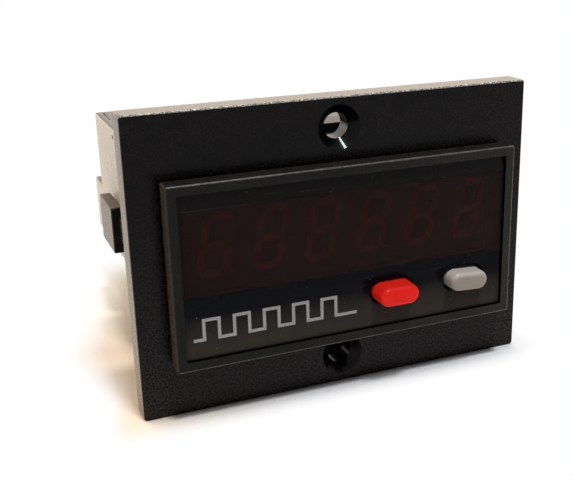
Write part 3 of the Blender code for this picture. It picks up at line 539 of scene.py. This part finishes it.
def add_object(name, bm):
    """An object in the scene with the mesh that was built in bm."""
    mesh = bpy.data.meshes.new(name)
    bm.to_mesh(mesh)
    bm.free()
    piece = bpy.data.objects.new(name, mesh)
    bpy.context.scene.collection.objects.link(piece)
    return piece


def evaluated_mesh(piece):
    deps = bpy.context.evaluated_depsgraph_get()
    return bpy.data.meshes.new_from_object(piece.evaluated_get(deps))


def prism(name, outlines, ys, bevel=0.0, segments=3):
    """A solid between two Y planes from X-Z outlines; an inner outline is a hole."""
    curve = bpy.data.curves.new(name, "CURVE")
    curve.dimensions = "2D"
    curve.fill_mode = "BOTH"
    curve.extrude = (ys[1] - ys[0]) / 2
    for points in outlines:
        spline = curve.splines.new("POLY")
        spline.points.add(len(points) - 1)
        for control, (x, z) in zip(spline.points, points):
            control.co = (x, z, 0.0, 1.0)
        spline.use_cyclic_u = True
    guide = bpy.data.objects.new(name, curve)
    bpy.context.scene.collection.objects.link(guide)
    mesh = evaluated_mesh(guide)
    bm = bmesh.new()
    bm.from_mesh(mesh)
    bpy.data.objects.remove(guide, do_unlink=True)
    bpy.data.meshes.remove(mesh)
    bmesh.ops.remove_doubles(bm, verts=bm.verts, dist=1e-7)
    bmesh.ops.dissolve_limit(bm, angle_limit=0.001, verts=bm.verts, edges=bm.edges)
    turn = Matrix.Rotation(math.pi / 2, 3, "X")
    bmesh.ops.rotate(bm, verts=bm.verts, cent=(0, 0, 0), matrix=turn)
    bmesh.ops.translate(bm, verts=bm.verts, vec=(0, (ys[0] + ys[1]) / 2, 0))
    bmesh.ops.recalc_face_normals(bm, faces=bm.faces)
    piece = add_object(name, bm)
    if bevel:
        edge_bevel(piece, bevel, segments)
    return piece


def edge_bevel(piece, width, segments, angle=35):
    bevel = piece.modifiers.new("edges", "BEVEL")
    bevel.width = width
    bevel.segments = segments
    bevel.use_clamp_overlap = False
    bevel.limit_method = "ANGLE"
    bevel.angle_limit = math.radians(angle)


def box(name, xs, ys, zs):
    bm = bmesh.new()
    size = [high - low for low, high in (xs, ys, zs)]
    middle = [(low + high) / 2 for low, high in (xs, ys, zs)]
    bmesh.ops.create_cube(bm, size=1.0, matrix=Matrix.Translation(middle)
                          @ Matrix.Diagonal((*size, 1.0)))
    return add_object(name, bm)


def lathe_y(name, profile, centre, steps=96):
    """A closed turned solid about a line along Y, from (radius, y) points."""
    bm = bmesh.new()
    rings = []
    for radius, y in profile:
        points = circle(radius, centre, steps) if radius else [centre]
        rings.append([bm.verts.new((x, y, z)) for x, z in points])
    for first, second in zip(rings, rings[1:]):
        for k in range(steps):
            near = (k + 1) % steps
            corners = [first[k % len(first)], first[near % len(first)],
                       second[near % len(second)], second[k % len(second)]]
            unique = list(dict.fromkeys(corners))
            if len(unique) > 2:
                bm.faces.new(unique)
    bmesh.ops.recalc_face_normals(bm, faces=bm.faces)
    return add_object(name, bm)


def boolean(piece, tool, operation="DIFFERENCE"):
    modifier = piece.modifiers.new("cut", "BOOLEAN")
    modifier.operation = operation
    modifier.solver = "EXACT"
    modifier.object = tool


def bake(piece, tools=(), smooth=30):
    """Applies the modifiers, shades by angle and removes the tools."""
    mesh = evaluated_mesh(piece)
    piece.modifiers.clear()
    piece.data = mesh
    for tool in tools:
        bpy.data.objects.remove(tool, do_unlink=True)
    mesh.shade_smooth()
    mesh.set_sharp_from_angle(angle=math.radians(smooth))


def flatten_normals(piece):
    """Keeps flat faces evenly shaded beside their rounded edges."""
    weighted = piece.modifiers.new("even_faces", "WEIGHTED_NORMAL")
    weighted.keep_sharp = True
    weighted.weight = 100


def finish_piece(piece, body, materials, replaced=()):
    piece.data.materials.clear()
    for material in materials:
        piece.data.materials.append(material)
    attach(piece, body)
    if replaced:
        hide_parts(*replaced)


def paint_faces(piece, finishes, finish_of_face):
    """Gives each face its finish, chosen by a function of the face."""
    for face in piece.data.polygons:
        face.material_index = finishes.index(finish_of_face(face))


# Plate

PLATE_FINISHES = ("plate", "cone", "plate_top_lit", "edge_glints", "lit_bore", "plate_side_lit", "frame_side")


def plate_finish(face, width, height, middle):
    """The finish of one face of the plate."""
    normal, y = face.normal, face.center.y
    across, upwards = face.center.x - middle[0], face.center.z - middle[1]
    from_hole = min(math.hypot(across, upwards - side * SCREW_OFFSET) for side in (1, -1))
    past_rim = max(abs(across) - width / 2, abs(upwards) - height / 2)
    if from_hole < SINK_RADIUS + TOUCH and PLATE + TOUCH < y < -TOUCH:
        # In the upper hole the bore's walls get the lit copy as painted light; the rest is black
        lit = upwards > 0 and y > PLATE + SINK_DEPTH and normal.z > -0.05
        return "lit_bore" if lit else "cone"
    # The upper front edge gets painted glints
    if PLATE < y < PLATE + PLATE_EDGE and past_rim > -1.5 * PLATE_EDGE and normal.z > 0.2:
        return "edge_glints"
    if y <= PLATE + PLATE_EDGE / 4:
        return "plate"
    # Upward faces get the lighter painted-light copy, the sides a dimmer one
    if normal.z > FACING:
        return "plate_top_lit"
    return "frame_side" if abs(normal.y) > FACING or y > 0 else "plate_side_lit"


def screw_hole(centre):
    """A cutter for a countersunk hole, a little longer than the plate is thick."""
    past = 0.0005
    outer = SINK_RADIUS + past
    return lathe_y("hole", [(0, PLATE - past), (outer, PLATE - past), (SINK_RADIUS, PLATE),
                            (BORE_RADIUS, PLATE + SINK_DEPTH), (BORE_RADIUS, past), (0, past)],
                   centre)


def make_plate(mats):
    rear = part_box("bezel_plate")[1][1]
    width, height, middle = front_view("bezel_plate")
    plate = prism("bezel", [outline(width, height, PLATE_CORNER, middle, 5)], (PLATE, 0.0),
                  PLATE_EDGE)
    collar = prism("collar", [outline(*COLLAR, OPENING_CORNER)], (PLATE / 2, rear))
    opening = prism("opening", [outline(*OPENING, OPENING_CORNER)], (PLATE - 0.001, 0.003))
    holes = [screw_hole((middle[0], middle[1] + side * SCREW_OFFSET)) for side in (1, -1)]
    boolean(plate, collar, "UNION")
    for cutter in [opening] + holes:
        boolean(plate, cutter)
    bake(plate, [collar, opening] + holes, 28)
    finish_piece(plate, "counter", [mats[key] for key in PLATE_FINISHES],
                 ["bezel_plate"])
    paint_faces(plate, PLATE_FINISHES, lambda face: plate_finish(face, width, height, middle))
    flatten_normals(plate)


# Keys

def taper_front(piece, centre, back, share):
    """Draws the front of a piece in towards its axis along Y."""
    for vertex in piece.data.vertices:
        if vertex.co.y < back:
            vertex.co.x = centre[0] + (vertex.co.x - centre[0]) * (1 - share)
            vertex.co.z = centre[1] + (vertex.co.z - centre[1]) * (1 - share)


def turned(point, centre, degrees):
    """A point in X and Z turned about a centre, anticlockwise as seen from the front."""
    c, s = math.cos(math.radians(degrees)), math.sin(math.radians(degrees))
    x, z = point[0] - centre[0], point[1] - centre[1]
    return centre[0] + c * x - s * z, centre[1] + s * x + c * z


def make_key(word, finish, tilt, mats):
    """A key's cap, turned a little in its hole, on the collar that holds it behind the foil."""
    low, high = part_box(word + "_key")
    width, height, place = front_view(word + "_key")
    shape = [turned(point, place, tilt)
             for point in outline(KEY_WIDTH, KEY_HEIGHT, KEY_HEIGHT / 2, place, 16)]
    cap = prism(word + "_cap", [shape], (low[1], high[1]), KEY_ROUNDING, 7)
    taper_front(cap, place, (low[1] + high[1]) / 2, 0.03)
    collar = prism("collar", [outline(width, height, KEY_COLLAR, place, 4)],
                   (high[1] - KEY_COLLAR, high[1] - TOUCH))
    boolean(cap, collar, "UNION")
    bake(cap, [collar], 32)
    finish_piece(cap, word + "_key_body", [mats[finish]], [word + "_key"])
    flatten_normals(cap)


# Displays

def segment_outlines(x):
    """Seven bars and a point of a slanted digit."""
    lean = math.tan(math.radians(DIGIT_LEAN))
    half_w, half_h, half = DIGIT_WIDTH / 2, DIGIT_HEIGHT / 2, BAR / 2

    def place(points):
        return [(x + px + lean * pz, DIGIT_MIDDLE + pz) for px, pz in points]

    def flat(z):
        end = half_w - BAR_GAP
        return place([(-end, z), (-end + half, z - half), (end - half, z - half), (end, z),
                      (end - half, z + half), (-end + half, z + half)])

    def upright(px, low, high):
        low, high = low + BAR_GAP, high - BAR_GAP
        return place([(px, low), (px + half, low + half), (px + half, high - half), (px, high),
                      (px - half, high - half), (px - half, low + half)])

    bars = [flat(z) for z in (-half_h, 0, half_h)]
    for px in (-half_w, half_w):
        bars += [upright(px, -half_h, 0), upright(px, 0, half_h)]
    return bars + [place(circle(POINT_RADIUS, (half_w + BAR, -half_h), 20))]


def make_display(word, side, mats):
    """A display module with three unlit digits on its face."""
    node = word + "_led_display"
    low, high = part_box(node)
    set_back, thickness, shift = 0.00015, 0.0002, 0.0002
    module = box(word + "_module", (low[0], high[0]), (low[1] + set_back, high[1]),
                 (low[2], high[2]))
    edge_bevel(module, 0.0001, 2)
    finish_piece(module, "counter", [mats["display_face"]], [node])
    bars = []
    for digit in range(3):
        bars += segment_outlines(side * DIGIT_PITCH * (digit + 0.5) + shift)
    digits = prism(word + "_segments", bars, (low[1], low[1] + thickness))
    finish_piece(digits, "counter", [mats["segment"]])


# Foil and window

def make_front(mats):
    """The printed foil with its rounded hole edges, the window and a generic printed mark."""
    hole_width, hole_height = KEY_WIDTH + 2 * KEY_PLAY, KEY_HEIGHT + 2 * KEY_PLAY
    key_holes = [outline(hole_width, hole_height, hole_height / 2,
                         front_view(word + "_key")[2], 16) for word in ("reset", "function")]
    width, height, middle = front_view("display_window")
    window = outline(width, height, FOIL_CORNER, middle, 4)
    hole = outline(width + WINDOW_PLAY, height + WINDOW_PLAY, FOIL_CORNER, middle, 4)
    width, height, _ = front_view("front_foil")
    low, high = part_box("front_foil")
    foil = prism("foil_sheet", [outline(width, height, FOIL_CORNER, (0, 0), 4), hole] + key_holes,
                 (low[1], high[1]), FOIL_EDGE, 2)
    bake(foil)
    finish_piece(foil, "counter", [mats["foil"]], ["front_foil"])
    low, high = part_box("display_window")
    pane = prism("window_pane", [window], (low[1] + TOUCH, high[1] - 3 * TOUCH), FOIL_EDGE, 1)
    bake(pane)
    finish_piece(pane, "counter", [mats["window"]], ["display_window"])
    make_mark(mats)


def printed_bar(bm, start, end, thick):
    """A bar of printed line between two points; an upright one stops short of the corners."""
    half = thick / 2
    low_x, high_x = min(start[0], end[0]) - half, max(start[0], end[0]) + half
    low_z, high_z = min(start[1], end[1]) - half, max(start[1], end[1]) + half
    if start[0] == end[0]:
        low_z, high_z = low_z + thick, high_z - thick
    corners = [(low_x, low_z), (high_x, low_z), (high_x, high_z), (low_x, high_z)]
    front = [bm.verts.new((x, FOIL - PRINT, z)) for x, z in corners]
    rear = [bm.verts.new((x, FOIL + PRINT, z)) for x, z in corners]
    bm.faces.new(front)
    bm.faces.new(rear[::-1])
    for k in range(4):
        bm.faces.new((front[k], rear[k], rear[(k + 1) % 4], front[(k + 1) % 4]))


def make_mark(mats):
    """A train of square pulses, printed on the foil below the window."""
    line, levels = 0.00042, (-0.0082, -0.0056)
    start, first, step, edges, end = -0.0217, -0.0205, 0.0020, 10, 0.0003
    points = [(start, levels[0])]
    for k in range(edges):
        x = first + k * step
        points += [(x, levels[k % 2]), (x, levels[1 - k % 2])]
    points.append((end, levels[0]))
    bm = bmesh.new()
    for ends in zip(points, points[1:]):
        printed_bar(bm, *ends, line)
    bmesh.ops.recalc_face_normals(bm, faces=bm.faces)
    finish_piece(add_object("pulse_mark", bm), "counter", [mats["print"]])


# Nodes that keep their shape

NODE_FINISHES = {
    "housing": "housing", "rear_cover": "housing", "frame_gasket": "seal",
    "display_board": "board", "main_board": "board", "board_header": "chip",
    "reset_switch": "chip", "function_switch": "chip", "reset_switch_plunger": "chip",
    "function_switch_plunger": "chip", "microcontroller": "chip", "memory_chip": "chip",
    "voltage_regulator": "chip", "left_input_coupler": "chip", "right_input_coupler": "chip",
    "clock_crystal": "can", "smoothing_capacitor": "can", "terminal_block": "terminal",
    "mounting_clip": "clip"}
for number in range(1, 9):
    NODE_FINISHES[f"terminal_screw_{number}"] = "steel"
    NODE_FINISHES[f"wire_clamp_{number}"] = "steel"


def dress_nodes(mats):
    """Materials for the nodes that stay as they are."""
    for name, finish in NODE_FINISHES.items():
        NODES[name].data.materials.clear()
        NODES[name].data.materials.append(mats[finish])


# Nodes with finer edges

HOUSING_FINISHES = ("housing", "frame", "frame_edge_highlight", "frame_side", "frame_left_lit", "housing_top",
                    "cone")


def housing_finish(face):
    """The finish of one face of the housing, which is the frame in front and the body behind."""
    normal, centre = face.normal, face.center
    # Body faces: the top gets a copy with less sheen than the sides, as painted light
    if centre.y >= PLATE:
        return "housing_top" if normal.z > FACING else "housing"
    left = normal.x < LEFTWARDS
    # Faces behind the foil's ledge get painted shade
    if normal.y < -SQUARELY and centre.y > FRONT + FOIL_LEDGE:
        return "cone"
    least_lean, most_lean = 0.2, 0.97
    # The rounded front edges get the painted highlight, save on the left
    if centre.y < FRONT + FRAME_EDGE and least_lean < -normal.y < most_lean:
        return "frame_side" if left else "frame_edge_highlight"
    if abs(normal.y) >= least_lean:
        return "frame"
    # The pocket's inward walls get painted shade
    if normal.x * centre.x + normal.z * centre.z < 0:
        return "cone"
    # Outer left faces get the lit copy as painted light
    return "frame_left_lit" if left else "frame_side"


def clip_finish(face):
    """The clip's front faces over and under the body are darker, in the plate's shade."""
    return "cone" if face.normal.y < -SQUARELY and abs(face.center.x) < BODY_SIDE else "clip"


def housing_seams():
    """Cutters for the fine seams that run along the body's two upper edges."""
    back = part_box("rear_cover")[1][1] + 0.0005
    near, far = SEAM
    return [box("seam_cutter", across, (SEAM_START, back), (SEAM_BOTTOM, BODY_TOP))
            for across in ((-far, -near), (near, far))]


def refine(name, materials, bevel=0.0, smooth=40, grooves=(), body="counter"):
    """A node's shape again as clean faces with fine edges and even shading."""
    bm = bmesh.new()
    bm.from_mesh(NODES[name].data)
    bmesh.ops.remove_doubles(bm, verts=bm.verts, dist=2e-6)
    bmesh.ops.dissolve_limit(bm, angle_limit=math.radians(0.3), verts=bm.verts, edges=bm.edges)
    piece = add_object(name + "_shell", bm)
    for groove in grooves:
        boolean(piece, groove)
    if bevel:
        edge_bevel(piece, bevel, 2, 50)
    bake(piece, grooves, smooth)
    for face in piece.data.polygons:
        along_axis = max(abs(v) for v in face.normal) >= 0.9999
        face.use_smooth = not along_axis
    finish_piece(piece, body, materials, [name])
    flatten_normals(piece)
    return piece


def refine_nodes(mats):
    shell = refine("housing", [mats[key] for key in HOUSING_FINISHES], smooth=50,
                   grooves=housing_seams())
    paint_faces(shell, HOUSING_FINISHES, housing_finish)
    clip = refine("mounting_clip", [mats["clip"], mats["cone"]], 0.00012, body="clip_body")
    paint_faces(clip, ("clip", "cone"), clip_finish)
    refine("terminal_block", [mats["terminal"]])
    refine("rear_cover", [mats["housing"]])
    refine("frame_gasket", [mats["seal"]], 0.00008)
    for number in range(1, 9):
        refine(f"terminal_screw_{number}", [mats["steel"]], 0.00004)
        refine(f"wire_clamp_{number}", [mats["steel"]], 0.00004)


# Floor and light

def make_floor():
    bm = bmesh.new()
    bmesh.ops.create_grid(bm, x_segments=1, y_segments=1, size=6.0)
    floor = add_object("floor", bm)
    floor.location = (0, 0, CAD_BOX[0][2] - 0.00002)
    floor.data.materials.append(floor_material())


def white_share(s, x, y, back):
    """How far the floor is on its way to white: 0 at the object and 1 from its shadow's end."""
    slant, line_x, line_y = 0.17, -0.0213, 0.044    # a line on the floor beside the body
    beside = s.math("MULTIPLY_ADD", y, slant, line_x - slant * line_y)
    beside = s.math("MULTIPLY", s.math("SUBTRACT", beside, x), 100.0)
    width = s.ramp(back, [(0.05, 0.33), (0.33, 0.90), (0.73, 0.60)])
    away = s.math("MAXIMUM", s.math("DIVIDE", beside, width), 0.0)
    away = s.math("MULTIPLY", away, away)
    front, right, rear = (y, PLATE, -0.0055), (x, 0.0277, 0.0050), (y, 0.0500, 0.0120)
    for position, start, length in (front, right, rear):
        outside = s.math("MAXIMUM", s.past(position, start, length), 0.0)
        away = s.math("MULTIPLY_ADD", outside, outside, away)
    return s.ramp(s.math("SQRT", away), [(0.0, 0.0), (0.4, 0.22), (0.7, 0.68), (1.0, 1.0)])


def floor_material():
    """Pale paper, shown as white to the camera, with the object's shadow kept close round it,
    deepened by painted shade under it and a warm painted shadow on its left.
    """
    s = Surface("pale_floor", PAPER, 0.9, Specular_IOR_Level=0.0)
    seen = s.background_rays()
    x, y, _ = s.axes(s.coords)
    # Painted shade: in the light it throws back, the paper is painted darker in front of the object
    painted_front_shade = s.ramp(s.past(y, -0.12, 0.20), [(0.0, DARK_PAPER), (0.50, PAPER)])
    # Painted shade where the object hides the paper from the sky
    occlusion = s.node("ShaderNodeAmbientOcclusion", Distance=0.030, samples=8)
    painted_under_shade = s.ramp(occlusion.outputs["AO"], [(0.15, 0.0), (0.40, 0.75), (0.70, 1.0)])
    # Painted light on the right and painted shadow on the left
    lit = s.math("MULTIPLY_ADD", x, LIT_ACROSS, LIT_MIDDLE)
    lit = s.math("MULTIPLY_ADD", y, LIT_BEHIND, lit)
    back = s.past(y, 0.0, 0.060)
    shown = s.mix(s.ramp(lit, [(0.0, 0.0), (1.0, 1.0)]), s.ramp(back, SHADED_PAPER), LIT_PAPER)
    s.set("Base Color", s.mix(seen, painted_front_shade, s.mix(1.0, painted_under_shade, shown, "MULTIPLY")))
    white = s.node("ShaderNodeEmission", Strength=1.0)
    s.choose(s.math("MULTIPLY", seen, white_share(s, x, y, back)), s.shader.outputs[0],
             white.outputs[0], s.tree.nodes["Material Output"])
    return s.material


def make_world():
    """White to the camera and in reflections; as light it is brighter behind than in front."""
    world = bpy.data.worlds.new("studio")
    world.use_nodes = True
    bpy.context.scene.world = world
    world.node_tree.nodes.clear()
    s = Nodes(world.node_tree, "Generated")
    x, y, _ = s.axes(s.coords)
    behind = s.math("MULTIPLY_ADD", s.math("MULTIPLY_ADD", x, -0.35, y), 0.5, 0.5)
    light = s.node("ShaderNodeBackground")
    s.feed(s.ramp(behind, [(0.0, (0.10, 0.10, 0.10)), (0.40, (0.20, 0.195, 0.19)),
                           (0.70, (1.3, 1.20, 1.08)), (1.0, (2.6, 2.30, 1.98))]),
           light.inputs["Color"])
    white = s.node("ShaderNodeBackground", Color=(1, 1, 1, 1), Strength=1.0)
    s.choose(s.background_rays(), light.outputs[0], white.outputs[0],
             s.node("ShaderNodeOutputWorld"))


def add_area(name, place, size, energy, colour):
    """A rectangular lamp that points at the origin."""
    data = bpy.data.lights.new(name, "AREA")
    data.shape = "RECTANGLE"
    data.size, data.size_y = size
    data.energy = energy
    data.color = colour
    lamp = bpy.data.objects.new(name, data)
    lamp.location = place
    lamp.rotation_euler = (-Vector(place)).to_track_quat("-Z", "Y").to_euler()
    bpy.context.scene.collection.objects.link(lamp)


bpy.context.scene.view_settings.view_transform = "Standard"
make_camera()
mats = {**plate_materials(), **housing_materials(), **front_materials(), **inner_materials()}
dress_nodes(mats)
refine_nodes(mats)
make_plate(mats)
make_front(mats)
make_display("left", -1, mats)
make_display("right", 1, mats)
make_key("reset", "key_red", 0.0, mats)
make_key("function", "key_grey", -3.5, mats)
make_floor()
make_world()
add_area("overhead", (0.03, -0.254, 0.776), (0.11, 0.07), 5.0, (0.97, 0.98, 1.0))
add_area("left_back", (-0.60, 0.45, 0.40), (0.90, 0.90), 3.4, (1.0, 0.96, 0.90))
